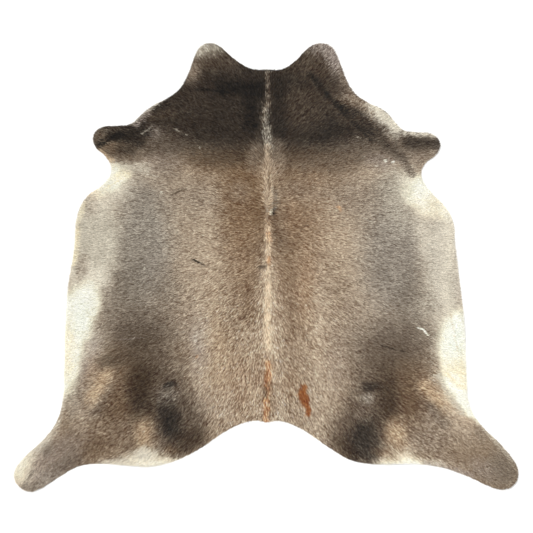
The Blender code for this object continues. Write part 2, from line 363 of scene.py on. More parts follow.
# Two small dots
DOT_PATCHES = (
    ("orange dot, right", 338, 209, 3, 2, "copper", 0.70, 40, 0.50),
    ("orange dot, left", 196, 357, 2.2, 1.4, "copper", 0.60, -45, 0.50),
)

PATCHES = [
    Patch(*row)
    for rows in (
        BACK_PATCHES,
        SIDE_PATCHES,
        LEFT_HIND_PATCHES,
        RIGHT_HIND_PATCHES,
        BELLY_PATCHES,
        ARMPIT_PATCHES,
        NECK_PATCHES,
        FORE_SHANK_PATCHES,
        MARK_PATCHES,
        LIGHT_AND_SHADE,
        DOT_PATCHES,
    )
    for row in rows
]

# The nape and the stripe along the spine
SPINE_STROKES = (
    ("nape, dark left", 222, 87, 262, 88, 7, "soot", 0.85),
    ("neck, dark left", 251, 92, 252, 124, 7.5, "soot", 0.70),
    ("neck, dark right", 279, 84, 279, 136, 6, "soot", 0.40),
    ("withers, soft", 276, 146, 276, 170, 8.5, "drab", 0.50),
    ("withers, left", 256, 150, 256, 166, 8.5, "drab", 0.45),
    ("chine, soft", 268, 170, 268, 194, 9, "pale_fawn", 0.40),
    ("loin, soft", 267, 272, 267, 352, 9, "pale_fawn", 0.45),
    ("copper, soft", 267.5, 363, 267.5, 418, 6.5, "tawny", 0.50),
    ("nape, cross", 264, 72.5, 272.5, 72, 0.8, "stone", 0.40, 0.60),
    ("nape", 266.8, 69, 266.8, 86, 2, "drab", 0.36, 0.70),
    ("nape, low", 267.4, 86, 267.2, 107, 2.4, "drab", 0.40),
    ("neck", 265.2, 111, 264.9, 130, 2.8, "stone", 0.36),
    ("neck, spray", 264, 105, 260.8, 127, 2.3, "drab", 0.22),
    ("neck, low", 267, 130, 267, 143, 4.2, "stone", 0.50),
    ("withers", 266.4, 146, 266.6, 160, 3, "pale_fawn", 0.62),
    ("withers, low", 267.6, 160, 267.6, 170, 4.2, "pale_fawn", 0.50),
    ("chine", 265.2, 172, 266, 206, 2.3, "pale_fawn", 0.62),
    ("chine, right", 271, 172, 270.6, 200, 1.5, "pale_fawn", 0.62),
    ("chine, slit", 268.6, 170, 268.4, 188, 0.8, "bay", 0.55),
    ("back", 266.5, 214, 267.5, 228, 2, "buff", 0.60, 0.70),
    ("back, low", 267.6, 228, 267.6, 258, 3, "sand", 0.62, 0.70),
    ("orange", 268, 232, 268, 240, 2, "copper", 0.40),
    ("orange, low", 268, 258, 268, 262, 2, "copper", 0.60),
    ("loin", 267.4, 268, 267.2, 286, 2.6, "sand", 0.45, 0.70),
    ("loin, middle", 267.4, 286, 267, 316, 2.8, "sand", 0.72, 0.70),
    ("loin, low", 267, 316, 267, 347, 2.8, "sand", 0.80, 0.70),
    ("copper", 267.4, 362, 268.4, 386, 2.7, "copper", 0.85, 0.70),
    ("copper, middle", 268, 386, 266.8, 398, 2, "copper", 0.70, 0.70),
    ("rust", 265.6, 370, 265.4, 388, 1.5, "rust", 0.80, 0.70),
    ("rust, low", 264.6, 388, 265.2, 400, 1.9, "bay", 0.75, 0.70),
    ("tail, shade", 271, 384, 271, 412, 3.4, "hazel", 0.55),
    ("tail", 266, 400, 265.2, 424, 2.6, "copper", 0.80, 0.70),
    ("tail, side", 264.8, 400, 264.2, 412, 1.4, "rust", 0.60, 0.70),
)

# The whorl on the back and what is beside it
WHORL_STROKES = (
    ("whorl, pale", 270.2, 209, 269.9, 214, 0.9, "ivory", 0.70, 0.60),
    ("whorl, dark", 273, 208.5, 272.6, 213.5, 1.5, "soot", 0.70),
    ("tick above the whorl", 270.4, 190, 270.4, 206, 0.7, "sand", 0.60, 0.60),
    ("beside the whorl", 274, 190, 274, 208, 3, "slate", 0.50),
    ("mark beside the spine", 259, 266.5, 264.5, 266.3, 1.3, "umber", 0.75, 0.70),
)

# Folds, rims and creases of the front half. The dark strokes in the neck folds, the creases, the left
# fore shank's fold and the right shoulder's shade are painted shade that the folds cast on the hair
FRONT_STROKES = (
    # Painted shade: dark lines in the right neck fold
    ("right neck fold, top", 309, 74, 326, 95, 3, "soot", 0.65),
    ("right neck fold, middle", 326, 95, 344, 111, 2.6, "soot", 0.65),
    ("right neck fold, wide", 336, 105, 362, 114, 3, "soot", 0.40),
    ("right neck fold, low", 346, 112, 376, 140, 1.8, "soot", 0.35),
    ("right shoulder, shade", 382, 142, 402, 158, 4.6, "bark", 0.45),
    ("right shoulder, shade end", 400, 157, 411, 173, 3.4, "ash_brown", 0.70),
    ("right neck side", 350, 95, 371, 108, 7.2, "drab", 0.90, 0.90),
    ("right shoulder rim", 374, 108, 394.5, 126.5, 8.8, "bone", 1.00, 0.90),
    ("right shoulder rim, end", 406, 132.5, 434, 134.5, 3.6, "bone", 0.80, 0.90),
    ("right shoulder, inner rim", 372, 120, 389, 137, 3.5, "drab", 0.25),
    ("left shoulder rim", 131, 121.5, 161, 98.5, 2.8, "stone", 0.85),
    ("left belly rim, high", 84, 203, 75, 230, 2.6, "butter", 0.50),
    ("left belly rim, middle", 77, 232, 73, 262, 3.4, "butter", 0.75),
    # Painted shade: dark lines in the left neck fold
    ("left neck fold, outer", 196, 89, 222, 91, 1.4, "soot", 0.70),
    ("left neck fold, inner", 222, 91, 262, 85, 1.6, "soot", 0.80),
    ("left fore shank, dark", 98, 144.5, 120, 134, 3.4, "soot", 0.75),
    ("left fore shank, dark end", 118, 138, 139, 142, 5.6, "soot", 0.62),
    ("left fore shank, top", 112, 135, 148, 132, 4.6, "soot", 0.60),
    # Painted shade along the left fore shank's fold
    ("left fore shank, fold", 120, 150, 132, 150, 4.4, "bark", 0.60),
    ("left armpit, tongue", 124, 166, 146, 168, 5, "stone", 0.60),
    ("left armpit, rim", 100, 151, 112, 160, 2.2, "buff", 0.80),
    ("right armpit, rim", 431, 165, 431.5, 179, 2.4, "sand", 0.85),
    ("right flank, pale strip", 432, 322, 433, 380, 4.2, "stone", 0.25, 0.90),
    ("left withers rim", 136, 124, 148, 112, 3.2, "taupe", 0.60),
    ("left withers rim, inner", 150, 117, 172, 113, 4.5, "hazel", 0.22),
    # Painted shade: dark lines in the right withers crease and the left ribs crease
    ("right withers crease", 337, 108, 372, 142, 1.3, "soot", 0.60),
    ("left ribs crease", 170.5, 195, 185.5, 188.5, 0.8, "umber", 0.55, 0.60),
    ("right withers, inner", 352, 98, 370, 112, 4, "hazel", 0.22),
    ("right withers, bone", 377, 112, 391, 123, 3.6, "bone", 0.55),
    ("right fore shank, dark", 408, 142, 436, 143.5, 5.2, "bark", 0.78),
)

# Folds, rims and lights of the hind half; the dark line in the left shank's fold is painted shade
HIND_STROKES = (
    ("left hock, light", 107, 372, 90, 400, 5.8, "buff", 0.85, 0.90),
    ("left hock, light end", 88, 402, 78, 424, 5.5, "fawn", 0.55, 0.90),
    ("left hock, stifle", 104, 362, 120, 357, 8, "umber", 0.60),
    ("left thigh rim", 64, 396, 56, 424, 2.8, "bone", 0.55),
    # Painted shade: a dark line in the left shank's fold
    ("left shank fold", 23, 487, 32, 470, 2, "slate", 0.50),
    ("right hock, light", 424, 385, 444, 410, 5.4, "buff", 0.88, 0.90),
    ("right hock, light end", 444, 410, 464, 433, 5.2, "fawn", 0.70, 0.90),
    ("right hock, dark", 430, 406, 444, 422, 5, "ash_brown", 0.45),
    ("right hock, edge", 439, 376, 461, 411, 4.2, "stone", 0.85, 0.90),
    ("right belly cream, corner", 450, 378, 470, 411, 6, "cream", 1.00, 0.50),
    ("right belly, arc", 445, 372, 457, 385, 2.2, "butter", 0.90),
    ("right belly, arc end", 457, 385, 467, 388, 2.2, "butter", 0.90),
    ("right calf rim", 462, 398, 478, 418, 4.4, "cream", 1.00),
    ("right shank, under rim", 425, 463, 470, 475, 3, "taupe", 0.60),
    ("right shank, rim", 481, 425, 513, 458, 2.6, "stone", 0.55, 0.90),
)

# Scratches, scars and flecks
SCAR_STROKES = (
    ("dark scratch", 193.5, 259, 204.5, 265, 0.7, "soot", 0.85, 0.60),
    ("dark scratch, end", 193.5, 259, 196.5, 260.6, 1, "soot", 0.50, 0.60),
    ("dark hair line", 170, 195, 186, 187.5, 0.6, "umber", 0.40, 0.60),
    ("white scar", 416, 327, 422, 328.5, 0.8, "cream", 1.00, 0.40),
    ("white scar, end", 422, 328.5, 426.5, 334, 0.8, "cream", 1.00, 0.40),
    ("pale line", 119, 339, 143, 337, 0.6, "taupe", 0.45, 0.60),
    ("dark line", 380, 345, 404, 351, 0.7, "soot", 0.38, 0.60),
    ("right scratch", 361, 217, 370, 221.5, 0.6, "stone", 0.55, 0.50),
    ("left withers scratch", 142, 133.5, 152, 126.5, 0.7, "stone", 0.50, 0.60),
    ("left withers scratch, low", 145, 131, 158, 130, 0.6, "stone", 0.30, 0.60),
    ("left withers scratch, inner", 174, 128.5, 186.5, 134.5, 0.6, "stone", 0.40, 0.60),
    ("left shoulder scratch", 147, 174, 158, 176.5, 0.6, "bone", 0.50, 0.60),
    ("left shoulder ochre", 106, 188, 119, 180, 1, "butter", 0.70, 0.60),
    ("left fleck", 161, 192, 162, 192, 0.9, "cream", 0.60, 0.60),
    ("left fleck, low", 144, 268, 144.8, 268, 1, "bone", 0.50, 0.50),
    ("left fleck, high", 199, 147, 199.8, 148, 0.7, "cream", 0.55, 0.50),
    ("right fleck", 384, 160, 385, 160.6, 1, "cream", 0.90, 0.50),
    ("right fleck, outer", 391.5, 161.5, 392.5, 161.5, 1, "cream", 0.90, 0.50),
    ("right fleck, inner", 356, 136.5, 360, 137.5, 0.7, "stone", 0.60, 0.50),
    ("right fleck, middle", 361, 158, 363, 156, 0.7, "stone", 0.60, 0.50),
    ("right fleck, low", 374, 165, 376, 166, 0.7, "bone", 0.60, 0.50),
    ("right belly line", 449, 312, 454, 340, 0.9, "buff", 0.22, 0.70),
    ("right belly line, low", 454, 340, 463, 370, 0.9, "buff", 0.22, 0.70),
)

STROKES = [
    Stroke(*row)
    for rows in (
        SPINE_STROKES,
        WHORL_STROKES,
        FRONT_STROKES,
        HIND_STROKES,
        SCAR_STROKES,
    )
    for row in rows
]

# Strips of the coat that are each one piece: a name, and where it starts and ends along x
STRIPS = (
    ("coat_left_side", -2.0, -0.56),
    ("coat_left_flank", -0.56, -0.27),
    ("coat_left_back", -0.27, 0.0),
    ("coat_right_back", 0.0, 0.27),
    ("coat_right_flank", 0.27, 0.56),
    ("coat_right_side", 0.56, 2.0),
)

# The length of a step of the photograph, and the steps to the rug's middle in it
PHOTO_STEP = 0.00468
PHOTO_MIDDLE = (265.5, 267.0)

# The line of the spine, and how far up it the whorl is
SPINE_X = 0.004
WHORL_Y = 0.264

# Cells on each side of a table of noise, before it repeats
NOISE_CELLS = 256

# How far the edges of patches stray and the size of the bumps that they stray in, wide and fine,
# in steps of the photograph. Strokes with less than the full half width stray less
WIDE_STRAY, WIDE_BUMP = 1.6, 8.0
FINE_STRAY, FINE_BUMP = 1.3, 2.0
FULL_HALF_WIDTH = 8

# The share of a patch or a stroke that is mixed by whole hairs. Strokes from the wide half width on
# mix as patches do. Each patch and stroke moves on the draw of every lock by the same amount
PATCH_MIXING = 0.2
STROKE_MIXING = 0.6
WIDE_HALF_WIDTH = 4.4
NEXT_DRAW = 0.618

# The leather: how close points are merged, which faces count as its underside, and how often the
# cells are smoothed on the ripples
MERGE_DISTANCE = 0.00005
UNDERSIDE_NORMAL = -0.5
SMOOTH_ROUNDS = 8

# A lock of unit length: where it is widest, how far its tip is raised in thicknesses, its thickness
# as a share of its width, and how light it is at the root, the widest place and the tip. These are
# painted shade, darkest at the root where the hairs shade each other, and painted light at the tip
WIDEST = 0.42
RAISED_TIP = 0.35
LOCK_THICKNESS = 0.45
PAINTED_LOCK_SHADING = (0.45, 0.92, 1.20)

# The least and the most that chance gives a lock: shifts of its root in spacings, its length and
# width, what its height gains, how it is cut at the rim, and how it rolls, in radians
ROOT_SHIFTS = (-0.40, 0.40)
LENGTHS = (0.78, 1.22)
WIDTHS = (0.75, 1.25)
RISES = (-0.25, 0.25)
RIM_CUTS = (0.55, 0.85)
ROLLS = (-0.5, 0.5)

# Roots sink into the leather by this much, and a piece has at most this many locks
SUNK_ROOT = 0.0004
MOST_LOCKS = 49900

# Height of the locks that reach over the cut edge, as a share of the others' height
RIM_RISE = 0.25

# The thin dark locks: how coarse the coat at least and at most counts for their share, then their
# length, width and height beside the others, the lift of their roots and how much darker they are
THIN_COARSE = (0.3, 1.2)
THIN_LENGTH = 1.35
THIN_WIDTH = 0.65
THIN_RISE = 1.2
THIN_LIFT = 0.0010
THIN_DARKENING = 1.1

# How strongly the tone changes: from corner to corner of a lock, in streaks, by lock and in clouds
SPOT_CHANGE = 0.35
STREAK_CHANGE = 0.09
LOCK_CHANGE = 0.24
CLOUD_CHANGE = 0.07

# Light that the gloss adds to every lock, which its paint leaves out, and the paint's limits
GLOSS_SHARE = 0.011
PAINT_LIMITS = (0.002, 0.96)

# How red, green and blue change from hair to hair, as shares of the painted colour: the lighter
# hairs are paler and less red than the coat's own colour
TONE_MIX = np.array(((0.40, 0.0, 0.0), (0.60, 1.0, 0.20), (0.0, 0.0, 0.80)))

# How fine the strand lines are across and along a lock, in bumps to a metre, then the size of a
# lock in the flat map and the margin round the map
STRAND_SCALE = (1500, 110, 1)
MAP_CELL = 0.0032
MAP_MARGIN = 0.004

# The mesh attributes that the materials read
COLOUR_LAYER = "coat"
STRAND_LAYER = "strand"

# The stage: the floor's half side and its place, where the key light shines to and how wide it
# looks, and the place that the camera stands over
FLOOR_REACH = 60
FLOOR_Z = -0.0005
KEY_DIRECTION = (1.0, -1.3, -2.2)
KEY_ANGLE = math.radians(12)
CAMERA_OVER = (0.0023, 0.0047)


def soft_step(low, high, value):
    """Rises smoothly from 0 at the low value to 1 at the high one."""
    share = np.clip((value - low) / (high - low), 0, 1)
    return share * share * (3 - 2 * share)


def soft_noise(x, y, size, seed):
    """Smooth random values from -1 to 1, in bumps of about this size."""
    cells = np.random.default_rng(seed).uniform(-1, 1, (NOISE_CELLS, NOISE_CELLS))
    left, low = np.floor(x / size), np.floor(y / size)
    across = soft_step(0, 1, x / size - left)
    up = soft_step(0, 1, y / size - low)
    column, row = left.astype(int), low.astype(int)

    def corner(right, above):
        return cells[(column + right) % NOISE_CELLS, (row + above) % NOISE_CELLS]

    below = corner(0, 0) * (1 - across) + corner(1, 0) * across
    above = corner(0, 1) * (1 - across) + corner(1, 1) * across
    return below * (1 - up) + above * up


def inside_share(distance, softness):
    """How much of a mark lies on points at this share of its reach."""
    return 1 - soft_step(1 - softness, 1 + softness, distance)


def patch_share(right, down, patch):
    """How much of a soft oval patch lies on each point."""
    angle = math.radians(patch.turn)
    right, down = right - patch.right, down - patch.down
    forward = right * math.cos(angle) + down * math.sin(angle)
    sideways = down * math.cos(angle) - right * math.sin(angle)
    return inside_share(np.hypot(forward / patch.along, sideways / patch.across), patch.softness)


def stroke_share(right, down, stroke):
    """How much of a soft line lies on each point."""
    run_right, run_down = stroke.end_right - stroke.right, stroke.end_down - stroke.down
    right, down = right - stroke.right, down - stroke.down
    along = (right * run_right + down * run_down) / (run_right**2 + run_down**2)
    along = np.clip(along, 0, 1)
    distance = np.hypot(right - along * run_right, down - along * run_down)
    return inside_share(distance / stroke.half_width, stroke.softness)


def stray(right, down, seed):
    """How far the edges of marks stray at each point, in steps of the photograph."""
    wide = WIDE_STRAY * soft_noise(right, down, WIDE_BUMP, seed)
    return wide + FINE_STRAY * soft_noise(right, down, FINE_BUMP, seed + 1)


def marks_on(right, down):
    """Each mark in turn, with how much of it lies on each point and how far it mixes by hairs."""
    stray_right, stray_down = stray(right, down, 11), stray(right, down, 13)
    for patch in PATCHES:
        yield patch, patch_share(right + stray_right, down + stray_down, patch), PATCH_MIXING
    for stroke in STROKES:
        part = min(1.0, stroke.half_width / FULL_HALF_WIDTH)
        mixing = STROKE_MIXING if stroke.half_width < WIDE_HALF_WIDTH else PATCH_MIXING
        yield stroke, stroke_share(right + part * stray_right, down + part * stray_down, stroke), mixing


def markings(x, y, draw=None):
    """The coat's colour at each point, as the eye sees it, with ragged edges to its patches.

    With a draw between 0 and 1 for each point, part of each mark is whole hairs of its colour.
    """
    right = x / PHOTO_STEP + PHOTO_MIDDLE[0]
    down = PHOTO_MIDDLE[1] - y / PHOTO_STEP
    colour = np.tile(np.array(PALETTE["fawn"], float), (len(x), 1))
    for mark, share, mixing in marks_on(right, down):
        share = mark.strength * share
        if draw is not None:
            draw = (draw + NEXT_DRAW) % 1
            share = (1 - mixing) * share + mixing * (share > draw)
        colour += share[:, None] * (np.array(PALETTE[mark.colour]) - colour)
    return colour / 255


def flow(x, y):
    """The way the hair lies: away from the whorl on the back, along the body and out to its rim."""
    out = x - SPINE_X
    away = y - WHORL_Y
    shank = soft_step(0.70, 1.00, np.abs(x)) * soft_step(-0.55, -0.80, y)
    down = away * (0.50 + 0.25 * shank)
    bend = 0.16 * soft_noise(x, y, 0.090, 21) + 0.12 * soft_noise(x, y, 0.022, 22)
    angle = np.arctan2(down, out + 0.12 * np.tanh(out / 0.03)) + bend
    return np.cos(angle), np.sin(angle)


def linear(colour):
    """Display colours as amounts of light."""
    low = colour / 12.92
    high = ((colour + 0.055) / 1.055) ** 2.4
    return np.where(colour <= 0.04045, low, high)


def new_material(name):
    """A material, its node tree and its main shader."""
    material = bpy.data.materials.new(name)
    material.use_nodes = True
    tree = material.node_tree
    return material, tree, tree.nodes["Principled BSDF"]


def set_inputs(tree, node, inputs):
    """Gives a node its inputs: each is a plain value or the output of another node."""
    for name, value in inputs.items():
        if isinstance(value, bpy.types.NodeSocket):
            tree.links.new(value, node.inputs[name])
        else:
            node.inputs[name].default_value = value


def add_node(tree, kind, inputs, output):
    """A new node of this kind with these inputs, as the one of its outputs that is used."""
    node = tree.nodes.new(kind)
    set_inputs(tree, node, inputs)
    return node.outputs[output]


def attribute(tree, name, output):
    """What a mesh attribute holds, as a colour or a vector."""
    node = tree.nodes.new("ShaderNodeAttribute")
    node.attribute_name = name
    return node.outputs[output]


def noise(tree, place, scale, detail, roughness=0.6):
    """A noise texture on the given coordinates, or on Object coordinates where none are given."""
    if place is None:
        place = add_node(tree, "ShaderNodeTexCoord", {}, "Object")
    inputs = {"Vector": place, "Scale": scale, "Detail": detail, "Roughness": roughness}
    return add_node(tree, "ShaderNodeTexNoise", inputs, "Fac")


def grey(light):
    """A grey colour."""
    return (light, light, light)


def ramp(tree, value, low, first, high, last):
    """A colour ramp from the first colour at the low value to the last one at the high value."""
    node = tree.nodes.new("ShaderNodeValToRGB")
    for element, place, colour in zip(node.color_ramp.elements, (low, high), (first, last)):
        element.position = place
        element.color = (*colour, 1.0)
    tree.links.new(value, node.inputs["Fac"])
    return node.outputs["Color"]


def multiply(tree, first, second):
    """One colour multiplied by another."""
    node = tree.nodes.new("ShaderNodeMix")
    node.data_type = "RGBA"
    node.blend_type = "MULTIPLY"
    set_inputs(tree, node, {"Factor": 1.0, "A": first, "B": second})
    return node.outputs["Result"]


def bump(tree, height, strength, distance):
    """A bump from a height, in metres."""
    inputs = {"Height": height, "Strength": strength, "Distance": distance}
    return add_node(tree, "ShaderNodeBump", inputs, "Normal")


def coat_material(settings):
    """Short glossy hair: each lock's own colour, with fine strand lines that run along the lock."""
    material, tree, shader = new_material("cowhide_hair")
    stretch = {"Vector": attribute(tree, STRAND_LAYER, "Vector"), "Scale": STRAND_SCALE}
    strands = noise(tree, add_node(tree, "ShaderNodeMapping", stretch, "Vector"), 1, 1)
    tone = ramp(tree, strands, 0.30, grey(0.72), 0.70, grey(1.22))
    inputs = {
        "Base Color": multiply(tree, attribute(tree, COLOUR_LAYER, "Color"), tone),
        "Roughness": settings.gloss_roughness,
        "Specular IOR Level": 0.15,
        "Sheen Weight": 0.02,
        "Sheen Roughness": 0.5,
    }
    set_inputs(tree, shader, inputs)
    return material


def hair_ground_material():
    """The skin between the roots: the coat's colour darkened by painted shade, as the hairs shade it,
    with fine pores.
    """
    material, tree, shader = new_material("cowhide_hair_ground")
    pores = noise(tree, None, 420, 3)
    # Painted shade: the coat's colour at 45 to 85 percent, as the hairs shade the skin between them
    tone = ramp(tree, pores, 0.35, grey(0.45), 0.70, grey(0.85))
    inputs = {
        "Base Color": multiply(tree, attribute(tree, COLOUR_LAYER, "Color"), tone),
        "Normal": bump(tree, pores, 0.6, 0.001),
        "Roughness": 0.75,
    }
    set_inputs(tree, shader, inputs)
    return material


def flesh_side_material(settings):
    """The suede flesh side: pale, with soft clouds and a fine nap."""
    material, tree, shader = new_material("cowhide_flesh_side")
    pale = tuple(settings.suede_colour)
    dark = tuple(0.72 * part for part in pale)
    nap = noise(tree, None, 380, 5, 0.7)
    clouds = ramp(tree, noise(tree, None, 7, 6, 0.62), 0.30, dark, 0.68, pale)
    fuzz = ramp(tree, nap, 0.25, grey(0.80), 0.75, grey(1.10))
    inputs = {
        "Base Color": multiply(tree, clouds, fuzz),
        "Normal": bump(tree, nap, 0.7, 0.0012),
        "Roughness": ramp(tree, nap, 0.20, grey(0.82), 0.80, grey(0.96)),
        "Sheen Weight": 0.25,
        "Sheen Roughness": 0.6,
    }
    set_inputs(tree, shader, inputs)
    return material


def cut_edge_material(settings):
    """The knife-cut edge of the leather: pale and darker fibres."""
    material, tree, shader = new_material("cowhide_cut_edge")
    pale = tuple(0.88 * part for part in settings.suede_colour)
    dark = tuple(0.55 * part for part in settings.suede_colour)
    fibres = noise(tree, None, 700, 4)
    inputs = {
        "Base Color": ramp(tree, fibres, 0.30, dark, 0.65, pale),
        "Normal": bump(tree, fibres, 0.5, 0.0005),
        "Roughness": 0.85,
    }
    set_inputs(tree, shader, inputs)
    return material


def floor_material(settings):
    """A plain pale floor with a faint grain."""
    material, tree, shader = new_material("stage_floor")
    pale = tuple(settings.floor_colour)
    dark = tuple(0.985 * part for part in pale)
    inputs = {
        "Base Color": ramp(tree, noise(tree, None, 3, 2), 0.3, dark, 0.7, pale),
        "Roughness": 0.9,
        "Specular IOR Level": 0.1,
    }
    set_inputs(tree, shader, inputs)
    return material


def colour_points(mesh, colours):
    """Writes a colour for each vertex into the attribute that the materials read."""
    layer = mesh.color_attributes.new(COLOUR_LAYER, "FLOAT_COLOR", "POINT")
    solid = np.ones((len(colours), 4), np.float32)
    solid[:, :3] = colours
    layer.data.foreach_set("color", solid.ravel())
    mesh.color_attributes.active_color = layer


def shown_piece(name, mesh, materials):
    """Puts a finished mesh into the scene as a piece that rides with the hide."""
    for material in materials:
        mesh.materials.append(material)
    piece = bpy.data.objects.new(name, mesh)
    bpy.context.scene.collection.objects.link(piece)
    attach(piece, "root")
    return piece


def ray_tree(mesh):
    """A mesh as a tree that rays can be cast at."""
    points = [vertex.co for vertex in mesh.vertices]
    return BVHTree.FromPolygons(points, [face.vertices for face in mesh.polygons])


def cut_outline(cad, inset):
    """The hide's outline as one flat face, taken in so that the hair can reach over its edge."""
    layer = bmesh.new()
    layer.from_mesh(cad.data)
    bmesh.ops.remove_doubles(layer, verts=layer.verts[:], dist=MERGE_DISTANCE)
    layer.normal_update()
    others = [face for face in layer.faces if face.normal.z > UNDERSIDE_NORMAL]
    bmesh.ops.delete(layer, geom=others, context="FACES")
    for vertex in layer.verts:
        vertex.co.z = 0
    whole = bmesh.ops.dissolve_faces(layer, faces=layer.faces[:])["region"][0]
    if whole.normal.z < 0:
        whole.normal_flip()
    layer.normal_update()
    rim = bmesh.ops.inset_individual(layer, faces=[whole], thickness=inset, use_even_offset=True)
    bmesh.ops.delete(layer, geom=rim["faces"], context="FACES")
    return layer


def cut_into_cells(layer, pitch):
    """Cuts the flat face into a grid of cells, so that it can follow ripples."""
    cuts = [((step * pitch, 0, 0), (1, 0, 0)) for step in span_steps(SPAN, pitch)]
    cuts += [((0, step * pitch, 0), (0, 1, 0)) for step in span_steps(LENGTH, pitch)]
    for place, across in cuts:
        everything = layer.verts[:] + layer.edges[:] + layer.faces[:]
        bmesh.ops.bisect_plane(layer, geom=everything, plane_co=place, plane_no=across)
    bmesh.ops.remove_doubles(layer, verts=layer.verts[:], dist=pitch / 12)


def span_steps(size, pitch):
    """The numbers of the grid lines that cross a side of this size."""
    most = int(size / 2 / pitch) + 1
    return range(-most, most + 1)


def lay_on_ripples(layer, cad):
    """Lifts the flat layer to the underside of the frame's hide and smooths it there."""
    tree = ray_tree(cad.data)
    up = Vector((0, 0, 1))
    for vertex in layer.verts:
        hit = tree.ray_cast(Vector((vertex.co.x, vertex.co.y, -1)), up)[0]
        vertex.co.z = hit.z if hit else 0
    for _ in range(SMOOTH_ROUNDS):
        bmesh.ops.smooth_vert(layer, verts=layer.verts[:], factor=0.5, use_axis_z=True)


def laid_leather(cad, settings):
    """The leather as one layer with the shape of its flesh side, before it gets its thickness."""
    layer = cut_outline(cad, settings.edge_inset)
    cut_into_cells(layer, settings.cell_pitch)
    lay_on_ripples(layer, cad)
    mesh = bpy.data.meshes.new("leather")
    layer.to_mesh(mesh)
    layer.free()
    mesh.shade_smooth()
    return mesh


def unit_lock():
    """One lock of unit size: a closed leaf with a ridge from its root, at the origin, to its tip."""
    lock = bmesh.new()
    for corner in ((0, 0, 0), (WIDEST, 0.5, 0), (1, 0, RAISED_TIP), (WIDEST, -0.5, 0)):
        lock.verts.new(corner)
    bmesh.ops.convex_hull(lock, input=lock.verts[:])
    bmesh.ops.recalc_face_normals(lock, faces=lock.faces[:])
    lock.verts.index_update()
    points = np.array([vertex.co for vertex in lock.verts])
    faces = np.array([[vertex.index for vertex in face.verts] for face in lock.faces])
    lock.free()
    return points, faces


def heights(tree, x, y):
    """The height of the surface below each point, or nan where there is none."""
    down = Vector((0, 0, -1))
    found = np.full(len(x), np.nan)
    for number, (place_x, place_y) in enumerate(zip(x.tolist(), y.tolist())):
        hit = tree.ray_cast(Vector((place_x, place_y, 1)), down)[0]
        if hit:
            found[number] = hit.z
    return found


def root_places(spacing, tree, chance):
    """Roots on a loose grid over the leather, with the height of each."""
    row_height = spacing * math.sqrt(3) / 2
    rows = np.arange(-LENGTH / 2, LENGTH / 2, row_height)
    columns = np.arange(-SPAN / 2, SPAN / 2, spacing)
    x, y = np.meshgrid(columns, rows)
    x = x + spacing / 2 * (np.arange(len(rows)) % 2)[:, None]
    x = (x + chance.uniform(*ROOT_SHIFTS, x.shape) * spacing).ravel()
    y = (y + chance.uniform(*ROOT_SHIFTS, y.shape) * spacing).ravel()
    z = heights(tree, x, y)
    inside = ~np.isnan(z)
    return x[inside], y[inside], z[inside]


def cut_at_rim(x, y, along_x, along_y, length, chance):
    """The locks' lengths, shortened where a lock would reach past the hide's outline."""
    rim_tree = ray_tree(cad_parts["cowhide"].data)
    length = length.copy()
    for _ in range(3):
        past = np.isnan(heights(rim_tree, x + along_x * length, y + along_y * length))
        length[past] *= chance.uniform(*RIM_CUTS, past.sum())
    return length


